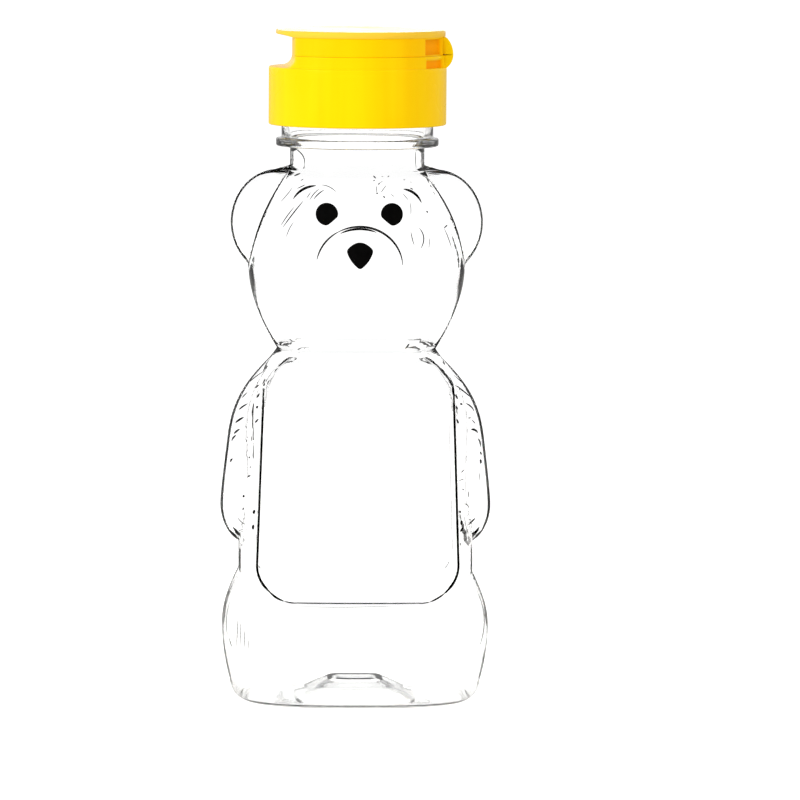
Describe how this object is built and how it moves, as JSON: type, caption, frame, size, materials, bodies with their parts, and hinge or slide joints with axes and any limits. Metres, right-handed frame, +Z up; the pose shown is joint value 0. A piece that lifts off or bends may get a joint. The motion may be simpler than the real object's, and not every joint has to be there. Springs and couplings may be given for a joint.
{
  "type": "bear-shaped squeeze bottle",
  "caption": "Clear blown squeeze bottle shaped as a seated bear, with a screw-on yellow flip-top cap on a living hinge.",
  "frame": {"origin": "middle of the standing face under the base", "axes": "+Z up along the neck's axis, -Y the way the bear faces, +X towards the lid's hinge"},
  "size_m": [0.0626, 0.0516, 0.1549],
  "materials": {
    "clear_pet": "clear blown PET, glossy and colourless",
    "black_ink": "printed black ink, satin",
    "liner_foam": "white closed-cell foam",
    "yellow_polypropylene": "moulded yellow polypropylene, slightly translucent, satin gloss"
  },
  "bodies": {
    "bottle": {"bottle": "clear_pet", "left_eye": "black_ink", "right_eye": "black_ink", "nose": "black_ink"},
    "seal": {"seal_liner": "liner_foam"},
    "cap": {"cap_base": "yellow_polypropylene", "hinge_leaf_lower": "yellow_polypropylene"},
    "lid": {"lid": "yellow_polypropylene", "hinge_leaf_upper": "yellow_polypropylene"}
  },
  "joints": [
    {"name": "cap_lift", "type": "slide", "parent": "bottle", "child": "seal", "axis": [0, 0, 1], "range_m": [0, 0.0053]},
    {"name": "cap_turn", "type": "hinge", "parent": "seal", "child": "cap", "pos_m": [0, 0, 0.14], "axis": [0, 0, 1], "range_deg": [0, 450]},
    {"name": "lid_hinge", "type": "hinge", "parent": "cap", "child": "lid", "pos_m": [0.02185, 0, 0.1493], "axis": [0, 1, 0], "range_deg": [0, 135]}
  ],
  "couplings": [
    {"joint": "cap_lift", "follows": "cap_turn", "m_per_rad": 0.0006737}
  ]
}
